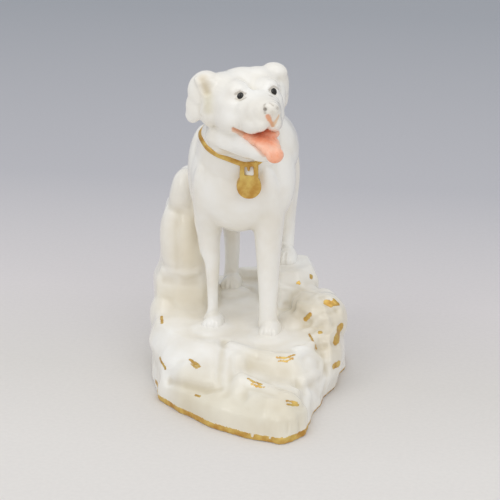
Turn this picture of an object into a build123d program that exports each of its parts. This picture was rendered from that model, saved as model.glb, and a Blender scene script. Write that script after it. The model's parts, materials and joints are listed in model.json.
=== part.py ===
from build123d import *
import os
from math import cos, pi, radians, sin, tan

# A white porcelain dog standing on a rocky mound, as the separately moulded pieces that are
# stuck together with slip before firing. Millimetres, +Z up. The dog looks along -Y with its
# left side towards +X, and the origin is on the floor under the middle of the mound.

# Mound: hollow underneath, standing on its rim, its top sloping up towards the back
base_length = 100.0
base_width = 72.8
plateau_height = 21.0
plateau_tilt = 6.0
shoulder_height = 7.5
ledge_height = 13.0
base_wall = 4.5

# Rocks on the mound: each has a size, a place and a height above the plateau. The two rocks at
# the mound's left edge are placed from that edge.
rock_root = 9.0
front_rock_length = 22.0
front_rock_width = 27.0
front_rock_x = 17.0
front_rock_y = -37.5
front_rock_rise = -8.5
back_rock_length = 9.0
back_rock_width = 38.0
back_rock_x = 2.0
back_rock_y = 41.0
back_rock_rise = 7.5
top_rock_length = 29.0
top_rock_width = 22.0
top_rock_x = 13.4
top_rock_y = 29.5
top_rock_rise = 14.5
middle_rock_length = 23.0
middle_rock_width = 18.0
middle_rock_inset = 11.4
middle_rock_y = 13.0
middle_rock_rise = 7.5
low_rock_length = 23.0
low_rock_width = 12.0
low_rock_y = 2.0
low_rock_rise = 0.5

# Craggy stump that props the dog's right flank
stump_rise = 51.5
stump_length = 25.0
stump_width = 24.8
stump_x = -23.8
stump_y = 19.5

# Legs and paws, about the dog's own middle line
dog_x = -0.5
foreleg_length = 35.0
foreleg_spread = 21.0
foreleg_y = 1.0
foreleg_step = 1.6
foreleg_root = 20.0
foreleg_thickness = 10.4
hind_leg_spread = 20.6
hind_leg_y = 34.0
hind_leg_thickness = 9.4
hind_leg_depth = 19.0
paw_length = 11.5
paw_width = 8.0
paw_height = 5.0
paw_heel = 3.6
paw_aside = 1.2
paw_root = 3.0

# Trunk and neck
chest_depth = 38.0
chest_width = 33.4
torso_length = 54.5
chest_front_y = -13.5
withers_length = 48.0
withers_width = 33.6
withers_height = 28.0
withers_aside = 2.5
neck_width = 27.0
neck_depth = 25.0
neck_length = 19.0
neck_root = 7.0
neck_rise = 26.0
neck_tilt = 35.0
neck_lean = 9.0
body_wall = 3.5
vent_diameter = 2.4

# Head, turned to the dog's left
head_turn = 34.0
head_x = 3.0
head_y = -14.0
head_rise = 49.0
skull_width = 26.0
skull_height = 22.8
skull_length = 26.0
muzzle_length = 13.4
muzzle_width = 16.0
muzzle_height = 12.6
head_wall = 3.5
jaw_length = 17.4
jaw_width = 15.2
jaw_height = 9.4
jaw_drop = 10.8
tongue_length = 25.0
tongue_width = 6.8
tongue_thickness = 2.8
tongue_side = 3.2
ear_length = 31.0
ear_breadth = 9.6
ear_thickness = 4.4
ear_flare = 38.0

# Tail, hanging and caught against the left hock
tail_length = 46.0
tail_thickness = 8.0

# Collar and padlock, in relief on the neck and breast
collar_width = 2.4
collar_proud = 0.9
collar_height = 10.0
padlock_diameter = 8.2
padlock_proud = 2.6
padlock_root = 8.0
padlock_x = 5.6
padlock_rise = 20.5
padlock_turn = 14.0
shackle_width = 6.2
shackle_height = 8.6
shackle_bar = 1.6

# One overrun serves every cut that has to break through a face
cut_overrun = 5.0

# Derived places
half_length = base_length / 2
half_width = base_width / 2
middle_rock_x = half_width - middle_rock_inset
low_rock_x = half_width - low_rock_width / 2
chest_bottom = plateau_height + foreleg_length
plateau_slope = radians(plateau_tilt)
oval_points = 8


def oval(plane, half_wide, rise, drop, lift=0.0):
    """Smooth closed face on a plane: one width, and its own height above and below its middle."""
    turns = [2 * pi * step / oval_points for step in range(oval_points)]
    with BuildSketch(plane) as face:
        with BuildLine():
            Spline(
                [(half_wide * cos(t), lift + (rise if sin(t) > 0 else drop) * sin(t)) for t in turns],
                periodic=True,
            )
        make_face()
    return face.sketch


def rock_slice(shares, half_wide, half_long, height, center=(0.0, 0.0)):
    """Straight-edged outline of a rock at one height, from shares of its half sizes."""
    with BuildSketch(Plane.XY.offset(height)) as face:
        with BuildLine():
            Polyline(
                [(center[0] + half_wide * x, center[1] + half_long * y) for x, y in shares],
                close=True,
            )
        make_face()
    return face.sketch


def ground_at(y):
    """Height of the mound's sloping top at a distance along the dog."""
    return plateau_height + tan(plateau_slope) * (y - foreleg_y)


def rock_stack(outline_shares, level_shares, size, center, bottom, top):
    """Slices of one rock from its root to its top; each level moves and shrinks the outline."""
    faces = []
    for up, shrink, move_x, move_y in level_shares:
        shares = [(x * shrink + move_x, y * shrink + move_y) for x, y in outline_shares]
        height = bottom + up * (top - bottom)
        faces.append(rock_slice(shares, size[0] / 2, size[1] / 2, height, center))
    return faces


def finish(piece, name):
    piece.part.label = name
    export_step(piece.part, f"parts/{name}.step")


os.makedirs("parts", exist_ok=True)

# Mound. The floor outline comes to a blunt point at the front, on the dog's left.
floor_shares = [
    (0.61, -1.00), (0.82, -0.80), (0.83, -0.47), (0.96, -0.03), (1.00, 0.26), (0.90, 0.64), (0.55, 0.92),
    (0.00, 1.00), (-0.55, 0.94), (-0.88, 0.70), (-1.00, 0.30), (-0.88, -0.05), (-0.67, -0.44), (-0.42, -0.63),
    (-0.04, -0.82), (0.30, -0.93),
]
shoulder_share = 0.97
shoulder_shares = [(x * shoulder_share, y * shoulder_share) for x, y in floor_shares]
ledge_shares = [
    (0.52, -0.70), (0.70, -0.60), (0.76, -0.38), (0.91, 0.00), (0.97, 0.26), (0.87, 0.63), (0.53, 0.90),
    (0.00, 0.97), (-0.53, 0.91), (-0.86, 0.69), (-0.99, 0.30), (-0.92, 0.00), (-0.68, -0.33), (-0.40, -0.52),
    (-0.03, -0.64), (0.27, -0.70),
]
plateau_shares = [
    (0.46, -0.46), (0.60, -0.40), (0.70, -0.22), (0.82, 0.02), (0.88, 0.26), (0.78, 0.60), (0.46, 0.82),
    (0.00, 0.88), (-0.46, 0.83), (-0.78, 0.64), (-0.95, 0.28), (-0.84, 0.00), (-0.60, -0.18), (-0.34, -0.29),
    (0.03, -0.36), (0.28, -0.44),
]


def plateau_slice(wide, long, wall):
    upward = (0, -sin(plateau_slope), cos(plateau_slope))
    top = Plane((0, foreleg_y, plateau_height - wall), x_dir=(1, 0, 0), z_dir=upward)
    with BuildSketch(top) as face:
        with BuildLine():
            Polyline([(wide * x, long * y - foreleg_y) for x, y in plateau_shares], close=True)
        make_face()
    return face.sketch


def mound_slices(wall, floor):
    wide = half_width - wall
    long = half_length - wall
    return [
        rock_slice(floor_shares, wide, long, floor),
        rock_slice(shoulder_shares, wide, long, shoulder_height - wall),
        rock_slice(ledge_shares, wide, long, ledge_height - wall),
        plateau_slice(wide, long, wall),
    ]


# The boulder at the front corner and the ridge at the back are part of the mound. A rock's levels
# run from its bottom (0) to its top (1), with shares that shrink and move its outline.
front_rock_shares = [
    (0.10, -1.00), (0.72, -0.62), (1.00, 0.10), (0.55, 0.90), (-0.45, 1.00), (-1.00, 0.30), (-0.62, -0.55),
]
back_rock_shares = [(0.90, -0.50), (1.00, 0.40), (0.40, 1.00), (-0.50, 0.95), (-1.00, 0.20), (-0.60, -0.80)]
boulder_levels_shares = [(0.00, 1.00, 0.00, 0.00), (0.60, 0.97, 0.00, 0.02), (1.00, 0.60, -0.02, 0.12)]
rock_bottom = plateau_height - rock_root

with BuildPart() as mound_form:
    loft(sections=mound_slices(0, 0), ruled=True)
    loft(
        sections=rock_stack(
            front_rock_shares, boulder_levels_shares, (front_rock_width, front_rock_length),
            (front_rock_x, front_rock_y), 0, plateau_height + front_rock_rise,
        ),
        ruled=True,
    )
    loft(
        sections=rock_stack(
            back_rock_shares, boulder_levels_shares, (back_rock_width, back_rock_length),
            (back_rock_x, back_rock_y), rock_bottom, plateau_height + back_rock_rise,
        ),
        ruled=True,
    )

with BuildPart() as mound_hollow:
    loft(sections=mound_slices(base_wall, -cut_overrun), ruled=True)

with BuildPart() as rock_base:
    add(mound_form.part)
    add(mound_hollow.part, mode=Mode.SUBTRACT)
finish(rock_base, "rock_base")

# Trunk: stations from the breast to the rump, as shares of length, half width, and the
# heights of back and belly over the lowest point of the chest
trunk_shares = [
    (0.00, 0.24, 0.74, 0.42), (0.03, 0.54, 0.84, 0.28), (0.10, 0.84, 0.93, 0.10), (0.24, 1.00, 1.00, 0.00),
    (0.45, 0.96, 0.97, 0.05), (0.66, 0.86, 0.93, 0.16), (0.84, 0.84, 0.91, 0.22), (0.96, 0.58, 0.84, 0.36),
    (1.00, 0.22, 0.72, 0.52),
]
widest_share = 0.60


def trunk_sections(stations, wall):
    faces = []
    for along, wide, back, belly in stations:
        deep = (back - belly) * chest_depth
        middle = chest_bottom + belly * chest_depth + widest_share * deep
        at = Plane((dog_x, chest_front_y + along * torso_length, middle), x_dir=(1, 0, 0), z_dir=(0, -1, 0))
        rise = (1 - widest_share) * deep - wall
        faces.append(oval(at, wide * chest_width / 2 - wall, rise, widest_share * deep - wall))
    return faces


# Withers and shoulder blades, running out along the back and fuller on the side that the head turns
# to: place shares along the trunk and up the chest, and stations from front to back as shares of
# half length and half size
withers_along_share = 0.50
withers_rise_share = 0.72
withers_shares = [
    (-0.98, 0.26), (-0.84, 0.66), (-0.58, 0.94), (-0.22, 1.00), (0.20, 0.90), (0.60, 0.74), (0.86, 0.52),
    (0.98, 0.22),
]


def withers_sections(stations, wall):
    faces = []
    x = dog_x + withers_aside
    y = chest_front_y + withers_along_share * torso_length
    z = chest_bottom + withers_rise_share * chest_depth
    for along, size in stations:
        at = Plane((x, y + along * withers_length / 2, z), x_dir=(1, 0, 0), z_dir=(0, -1, 0))
        half_tall = size * withers_height / 2 - wall
        faces.append(oval(at, size * withers_width / 2 - wall, half_tall, half_tall))
    return faces


neck_axis = Vector(tan(radians(neck_lean)), -sin(radians(neck_tilt)), cos(radians(neck_tilt)))
neck_frame = Plane((dog_x, 0, chest_bottom + neck_rise), x_dir=(1, 0, 0), z_dir=neck_axis)
neck_root_share = 1.13
neck_top_share = 0.78


def neck_sections(wall, start, end):
    faces = []
    for step, size in ((start, neck_root_share), (collar_height, 1), (end, neck_top_share)):
        half_deep = size * neck_depth / 2 - wall
        faces.append(oval(neck_frame.offset(step), size * neck_width / 2 - wall, half_deep, half_deep))
    return faces


with BuildPart() as torso_form:
    loft(sections=trunk_sections(trunk_shares, 0))
    loft(sections=withers_sections(withers_shares, 0))
    loft(sections=neck_sections(0, -neck_root, neck_length))

with BuildPart() as torso_hollow:
    loft(sections=trunk_sections(trunk_shares[2:-1], body_wall))
    loft(sections=withers_sections(withers_shares[1:-1], body_wall))
    loft(sections=neck_sections(body_wall, 0, neck_length + cut_overrun))

vent_y_share = 0.70
with BuildPart() as torso:
    add(torso_form.part)
    add(torso_hollow.part, mode=Mode.SUBTRACT)
    with BuildSketch(Plane.XY.offset(chest_bottom)):
        with Locations((dog_x, chest_front_y + vent_y_share * torso_length)):
            Circle(vent_diameter / 2)
    extrude(amount=chest_depth / 2, mode=Mode.SUBTRACT)
finish(torso, "torso")

# Rocks stacked on the mound at the dog's left
top_rock_shares = [
    (1.00, -0.20), (0.55, -0.92), (-0.20, -1.00), (-0.95, -0.55), (-1.00, 0.35), (-0.35, 1.00), (0.60, 0.85),
]
middle_rock_shares = [
    (0.70, -1.00), (1.00, -0.10), (0.80, 0.90), (-0.30, 1.00), (-1.00, 0.40), (-0.85, -0.60), (0.00, -0.95),
]
low_rock_shares = [(0.55, -1.00), (1.00, -0.25), (0.95, 0.85), (-0.50, 1.00), (-1.00, 0.10), (-0.60, -0.85)]
slab_levels_shares = [(0.00, 1.00, 0.00, 0.00), (0.80, 0.94, 0.00, 0.02), (1.00, 0.74, -0.06, 0.06)]

with BuildPart() as top_rock_form:
    loft(
        sections=rock_stack(
            top_rock_shares, slab_levels_shares, (top_rock_width, top_rock_length),
            (top_rock_x, top_rock_y), rock_bottom, plateau_height + top_rock_rise,
        ),
        ruled=True,
    )

with BuildPart() as middle_rock_form:
    loft(
        sections=rock_stack(
            middle_rock_shares, slab_levels_shares, (middle_rock_width, middle_rock_length),
            (middle_rock_x, middle_rock_y), rock_bottom, plateau_height + middle_rock_rise,
        ),
        ruled=True,
    )

with BuildPart() as top_rock:
    add(top_rock_form.part)
    add(mound_form.part, mode=Mode.SUBTRACT)
finish(top_rock, "top_rock")

with BuildPart() as middle_rock:
    add(middle_rock_form.part)
    add([mound_form.part, top_rock_form.part], mode=Mode.SUBTRACT)
finish(middle_rock, "middle_rock")

with BuildPart() as low_rock:
    loft(
        sections=rock_stack(
            low_rock_shares, boulder_levels_shares, (low_rock_width, low_rock_length),
            (low_rock_x, low_rock_y), 0, plateau_height + low_rock_rise,
        ),
        ruled=True,
    )
    add([mound_form.part, middle_rock_form.part], mode=Mode.SUBTRACT)
finish(low_rock, "low_rock")

# Legs: stations from the sole up, as shares of the leg's height, thickness and depth
foreleg_shares = [
    (-0.08, 0.64, 0.72), (0.12, 0.62, 0.68), (0.28, 0.67, 0.74), (0.48, 0.80, 0.92), (0.64, 0.95, 1.14),
    (0.80, 1.06, 1.30), (0.93, 0.84, 1.00), (1.00, 0.40, 0.50),
]
hind_leg_shares = [
    (-0.06, 0.64, 0.36, 0.30), (0.12, 0.62, 0.36, 0.36), (0.28, 0.66, 0.44, 0.40), (0.42, 0.78, 0.58, 0.20),
    (0.60, 0.96, 0.88, 0.00), (0.78, 1.00, 1.00, 0.00), (0.92, 0.78, 0.84, 0.02), (1.00, 0.36, 0.50, 0.02),
]
hip_height_share = 0.62
paw_shares = [(0.00, 0.50, 0.60), (0.20, 0.84, 1.00), (0.60, 1.00, 0.92), (0.88, 0.86, 0.70), (1.00, 0.42, 0.36)]


def paw_sections(x, y, ground):
    faces = []
    for along, wide, tall in paw_shares:
        at = Plane((x, y + paw_heel - along * paw_length, ground), x_dir=(1, 0, 0), z_dir=(0, -1, 0))
        faces.append(oval(at, wide * paw_width / 2, tall * paw_height, paw_root))
    return faces


hind_leg_forms = {}
for side, side_name in ((-1, "right"), (1, "left")):
    leg_x = dog_x + side * foreleg_spread / 2
    leg_y = foreleg_y - side * foreleg_step
    with BuildPart() as foreleg:
        stations = []
        for up, wide, deep in foreleg_shares:
            height = plateau_height + up * (foreleg_length + foreleg_root)
            half_deep = deep * foreleg_thickness / 2
            at = Plane((leg_x, leg_y, height))
            stations.append(oval(at, wide * foreleg_thickness / 2, half_deep, half_deep))
        loft(sections=stations)
        loft(sections=paw_sections(leg_x + paw_aside, leg_y, ground_at(leg_y - paw_length / 2)))
        add([torso_form.part, mound_form.part], mode=Mode.SUBTRACT)
    finish(foreleg, f"foreleg_{side_name}")

    leg_x = dog_x + side * hind_leg_spread / 2
    ground = plateau_height + top_rock_rise if side > 0 else ground_at(hind_leg_y)
    with BuildPart() as hind_leg:
        stations = []
        for up, wide, deep, back in hind_leg_shares:
            height = ground + up * (chest_bottom + hip_height_share * chest_depth - ground)
            half_deep = deep * hind_leg_depth / 2
            at = Plane((leg_x, hind_leg_y + back * hind_leg_depth / 2, height))
            stations.append(oval(at, wide * hind_leg_thickness / 2, half_deep, half_deep))
        loft(sections=stations)
        loft(sections=paw_sections(leg_x + paw_aside, hind_leg_y, ground))
        add([torso_form.part, mound_form.part, top_rock_form.part], mode=Mode.SUBTRACT)
    hind_leg_forms[side_name] = hind_leg.part
    finish(hind_leg, f"hind_leg_{side_name}")

# Stump: three tiers, each set back from the one below, cut to the flank that it props
stump_shares = [
    (1.00, -0.30), (0.72, -0.90), (-0.05, -1.00), (-0.72, -0.82), (-1.00, -0.15), (-0.88, 0.62), (-0.15, 1.00),
    (0.82, 0.80),
]
stump_levels_shares = [
    (0.00, 1.00, 0.00, 0.00), (0.35, 0.97, 0.00, 0.00), (0.43, 0.86, 0.06, 0.04), (0.68, 0.79, 0.12, 0.02),
    (0.80, 0.72, 0.17, 0.00), (0.83, 0.66, 0.22, 0.00), (0.94, 0.58, 0.26, 0.00), (1.00, 0.38, 0.28, 0.00),
]
with BuildPart() as stump:
    loft(
        sections=rock_stack(
            stump_shares, stump_levels_shares, (stump_width, stump_length),
            (stump_x, stump_y), rock_bottom, plateau_height + stump_rise,
        ),
        ruled=True,
    )
    add([mound_form.part, torso_form.part, hind_leg_forms["right"]], mode=Mode.SUBTRACT)
finish(stump, "stump")

# Head. Its frame has x to the dog's left, y up and z forward along the muzzle.
turn = radians(head_turn)
head_frame = Plane(
    (head_x, head_y, chest_bottom + head_rise), x_dir=(cos(turn), sin(turn), 0), z_dir=(sin(turn), -cos(turn), 0)
)
head_up = Vector(0, 0, 1)


def head_point(left, up, forward):
    return head_frame.from_local_coords(Vector(left, up, forward))


# Skull from its back to the brow: forward, width, rise and drop shares of its half sizes
skull_shares = [
    (-0.96, 0.26, 0.26, 0.26), (-0.85, 0.56, 0.54, 0.56), (-0.50, 0.90, 0.88, 0.92), (0.00, 1.00, 1.00, 1.00),
    (0.46, 0.97, 0.95, 0.95), (0.80, 0.83, 0.78, 0.76),
]
# Muzzle from the stop to the nose: forward share of its length, shares of its half sizes, lift share
muzzle_shares = [
    (0.08, 1.08, 1.11, -0.02), (0.45, 0.98, 1.00, -0.01), (0.78, 0.86, 0.82, 0.06), (0.93, 0.64, 0.64, 0.12),
    (0.99, 0.40, 0.44, 0.14), (1.02, 0.12, 0.16, 0.15),
]
skull_half_length = skull_length / 2


def skull_sections(stations, wall):
    faces = []
    for forward, wide, rise, drop in stations:
        at = head_frame.offset(forward * skull_half_length)
        half_tall = skull_height / 2
        faces.append(oval(at, wide * skull_width / 2 - wall, rise * half_tall - wall, drop * half_tall - wall))
    return faces


def muzzle_sections():
    faces = []
    for forward, wide, tall, lift in muzzle_shares:
        at = head_frame.offset(skull_half_length + forward * muzzle_length)
        half_tall = tall * muzzle_height / 2
        faces.append(oval(at, wide * muzzle_width / 2, half_tall, half_tall, lift * muzzle_height))
    return faces


with BuildPart() as head_form:
    loft(sections=skull_sections(skull_shares, 0) + muzzle_sections())

with BuildPart() as skull_hollow:
    loft(sections=skull_sections(skull_shares[1:], head_wall))

with BuildPart() as head:
    add(head_form.part)
    add([torso_form.part, skull_hollow.part], mode=Mode.SUBTRACT)
finish(head, "head")

# Lower jaw: forward, width, half height and lift shares
jaw_shares = [
    (0.00, 1.05, 1.19, 0.16), (0.36, 1.00, 0.95, -0.02), (0.70, 0.87, 0.70, -0.10), (0.92, 0.66, 0.50, -0.08),
    (1.00, 0.32, 0.28, -0.06),
]
jaw_start_share = 0.36
with BuildPart() as jaw_form:
    jaw_faces = []
    for forward, wide, tall, lift in jaw_shares:
        half_tall = tall * jaw_height / 2
        at = head_frame.offset(jaw_start_share * skull_half_length + forward * jaw_length)
        jaw_faces.append(oval(at, wide * jaw_width / 2, half_tall, half_tall, lift * jaw_height - jaw_drop))
    loft(sections=jaw_faces)

with BuildPart() as lower_jaw:
    add(jaw_form.part)
    add([head_form.part, torso_form.part], mode=Mode.SUBTRACT)
finish(lower_jaw, "lower_jaw")

# Tongue: forward and up shares of its length, its slope in degrees, width and thickness shares
tongue_shares = [
    (0.00, 0.02, 0, 0.90, 0.80), (0.36, 0.02, 0, 1.00, 1.00), (0.60, -0.01, -18, 1.00, 1.00),
    (0.75, -0.06, -44, 1.00, 1.00), (0.82, -0.15, -72, 1.04, 1.00), (0.84, -0.24, -86, 0.90, 0.90),
    (0.84, -0.29, -90, 0.42, 0.50),
]
with BuildPart() as tongue:
    tongue_faces = []
    start = jaw_start_share * skull_half_length
    bed = jaw_height / 2 - jaw_drop
    for forward, up, slope, wide, thick in tongue_shares:
        at = Plane(
            head_point(tongue_side, bed + up * tongue_length, start + forward * tongue_length),
            x_dir=head_frame.x_dir,
            z_dir=head_frame.z_dir * cos(radians(slope)) + head_up * sin(radians(slope)),
        )
        half_thick = thick * tongue_thickness / 2
        tongue_faces.append(oval(at, wide * tongue_width / 2, half_thick, half_thick))
    loft(sections=tongue_faces)
    add([head_form.part, jaw_form.part, torso_form.part], mode=Mode.SUBTRACT)
finish(tongue, "tongue")

# Ears: out, up and back shares of their length from the skull's axis, slope, breadth and thickness
ear_shares = [
    (0.26, 0.21, 42, 0.70, 0.90), (0.36, 0.28, 18, 0.80, 1.00), (0.445, 0.25, -44, 0.90, 0.94),
    (0.485, 0.13, -80, 1.00, 0.88), (0.49, -0.01, -90, 1.00, 0.82), (0.475, -0.13, -96, 0.80, 0.76),
    (0.465, -0.19, -98, 0.36, 0.50),
]
flare = radians(ear_flare)
for side, side_name in ((-1, "right"), (1, "left")):
    with BuildPart() as ear:
        ear_faces = []
        for out, up, slope, broad, thick in ear_shares:
            at = Plane(
                head_point(side * out * ear_length, up * ear_length, 0),
                x_dir=head_frame.z_dir * cos(flare) - head_frame.x_dir * side * sin(flare),
                z_dir=head_frame.x_dir * side * cos(radians(slope)) + head_up * sin(radians(slope)),
            )
            half_thick = thick * ear_thickness / 2
            ear_faces.append(oval(at, broad * ear_breadth / 2, half_thick, half_thick))
        loft(sections=ear_faces)
        add([head_form.part, torso_form.part], mode=Mode.SUBTRACT)
    finish(ear, f"ear_{side_name}")

# Tail: sideways, back and up shares of its length from the root, slope and thickness
tail_shares = [
    (0.00, -0.10, 0.02, -10, 1.00), (0.00, 0.06, -0.02, -38, 0.96), (0.01, 0.14, -0.14, -72, 0.86),
    (0.04, 0.17, -0.34, -86, 0.76), (0.10, 0.15, -0.56, -96, 0.64), (0.16, 0.11, -0.78, -100, 0.50),
    (0.19, 0.08, -0.92, -104, 0.30),
]
tail_root_share = 0.94
tail_height_share = 0.78
with BuildPart() as tail:
    tail_faces = []
    for across, back, up, slope, thick in tail_shares:
        root_y = chest_front_y + tail_root_share * torso_length
        root_z = chest_bottom + tail_height_share * chest_depth
        at = Plane(
            (dog_x + across * tail_length, root_y + back * tail_length, root_z + up * tail_length),
            x_dir=(1, 0, 0),
            z_dir=(0, cos(radians(slope)), sin(radians(slope))),
        )
        half_thick = thick * tail_thickness / 2
        tail_faces.append(oval(at, half_thick, half_thick, half_thick))
    loft(sections=tail_faces)
    add([torso_form.part, hind_leg_forms["left"]], mode=Mode.SUBTRACT)
finish(tail, "tail")

# Collar: a flat band that follows the neck's own section
with BuildPart() as collar:
    half_deep = neck_depth / 2 + collar_proud
    add(oval(neck_frame.offset(collar_height), neck_width / 2 + collar_proud, half_deep, half_deep))
    extrude(amount=collar_width / 2, both=True)
    add([torso_form.part, head_form.part, jaw_form.part], mode=Mode.SUBTRACT)
finish(collar, "collar")

# Padlock: a round body under a square shackle, its back cut to the breast
padlock_angle = radians(padlock_turn)
padlock_plane = Plane(
    (padlock_x, chest_front_y - padlock_proud, chest_bottom + padlock_rise),
    x_dir=(cos(padlock_angle), sin(padlock_angle), 0),
    z_dir=(sin(padlock_angle), -cos(padlock_angle), 0),
)
with BuildPart() as padlock:
    with BuildSketch(padlock_plane):
        with Locations((0, shackle_height / 2)):
            Rectangle(shackle_width, shackle_height)
        with Locations((0, (shackle_height - shackle_bar) / 2)):
            Rectangle(shackle_width - 2 * shackle_bar, shackle_height - shackle_bar, mode=Mode.SUBTRACT)
        Circle(padlock_diameter / 2)
    extrude(amount=-padlock_root)
    add([torso_form.part, collar.part], mode=Mode.SUBTRACT)
finish(padlock, "padlock")
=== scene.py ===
import json
import math

import bmesh
import bpy
import numpy as np
from mathutils import Euler, Matrix, Vector, noise
from mathutils.bvhtree import BVHTree

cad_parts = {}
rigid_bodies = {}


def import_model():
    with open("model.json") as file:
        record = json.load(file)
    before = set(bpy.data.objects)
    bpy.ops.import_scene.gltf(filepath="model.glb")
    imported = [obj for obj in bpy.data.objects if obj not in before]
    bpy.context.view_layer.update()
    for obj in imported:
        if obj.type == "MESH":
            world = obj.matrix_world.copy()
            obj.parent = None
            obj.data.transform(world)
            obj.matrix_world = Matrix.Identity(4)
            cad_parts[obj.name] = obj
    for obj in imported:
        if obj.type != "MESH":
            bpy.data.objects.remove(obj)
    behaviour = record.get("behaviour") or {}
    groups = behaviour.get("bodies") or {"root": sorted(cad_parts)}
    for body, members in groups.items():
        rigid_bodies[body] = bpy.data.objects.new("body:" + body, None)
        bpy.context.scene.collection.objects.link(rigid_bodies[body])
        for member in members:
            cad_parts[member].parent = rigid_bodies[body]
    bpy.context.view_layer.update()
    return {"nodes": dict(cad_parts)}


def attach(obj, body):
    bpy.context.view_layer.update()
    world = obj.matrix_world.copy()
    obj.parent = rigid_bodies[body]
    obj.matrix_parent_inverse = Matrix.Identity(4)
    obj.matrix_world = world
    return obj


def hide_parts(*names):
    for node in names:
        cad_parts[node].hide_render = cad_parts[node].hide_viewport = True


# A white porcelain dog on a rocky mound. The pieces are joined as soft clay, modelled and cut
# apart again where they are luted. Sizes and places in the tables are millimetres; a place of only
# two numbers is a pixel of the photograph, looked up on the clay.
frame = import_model()
scene = bpy.context.scene
MM = 0.001
upright = (0, 0, 0)
# The dog's right, then its left
both_sides = (-1, 1)

# Camera: where the photograph was taken from
photo_size = 500
focal_pixels = 1641.8
camera_spot = Vector((106.6, -530.7, 225.0)) * MM
camera_aim = Vector((6.8, -17.2, 55.0)) * MM
camera_data = bpy.data.cameras.new("photo_camera")
camera_data.sensor_width = 36.0
camera_data.lens = focal_pixels * camera_data.sensor_width / photo_size
camera_data.clip_start = 0.05
camera = bpy.data.objects.new("photo_camera", camera_data)
camera.location = camera_spot
camera.rotation_euler = (camera_aim - camera_spot).to_track_quat("-Z", "Y").to_euler()
scene.collection.objects.link(camera)
scene.camera = camera

# Head frame: forward along the muzzle, left, and up, about the middle of the skull
head_middle = Vector((3.0, -14.0, 105.0))
head_turn = 34.0


def head(forward, left, up):
    """A place on the head, in the model's millimetres."""
    turn = math.radians(head_turn)
    x = forward * math.sin(turn) + left * math.cos(turn)
    y = left * math.sin(turn) - forward * math.cos(turn)
    return tuple(head_middle + Vector((x, y, up)))


def head_lump(spot, size, turn=upright):
    """A lump on the head: half sizes across, along and up, turned with the head."""
    return head(*spot), size, (turn[0], turn[1], turn[2] + head_turn)


def linear(hex_colour):
    """An sRGB hex colour as the linear values that shaders and attributes use."""
    channels = [int(hex_colour[i:i + 2], 16) / 255 for i in (1, 3, 5)]
    return [c / 12.92 if c <= 0.04045 else ((c + 0.055) / 1.055) ** 2.4 for c in channels] + [1.0]


def sight(px, py):
    """Direction from the camera through a pixel of the photograph."""
    half = photo_size / 2
    return (camera.rotation_euler.to_matrix() @ Vector((px - half, half - py, -focal_pixels))).normalized()


def shown(name, data):
    """A new object in the scene."""
    piece = bpy.data.objects.new(name, data)
    scene.collection.objects.link(piece)
    return piece


# One round ball, copied for every lump of clay
form = bmesh.new()
bmesh.ops.create_uvsphere(form, u_segments=32, v_segments=20, radius=1)
ball = bpy.data.meshes.new("ball")
form.to_mesh(ball)
form.free()


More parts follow.
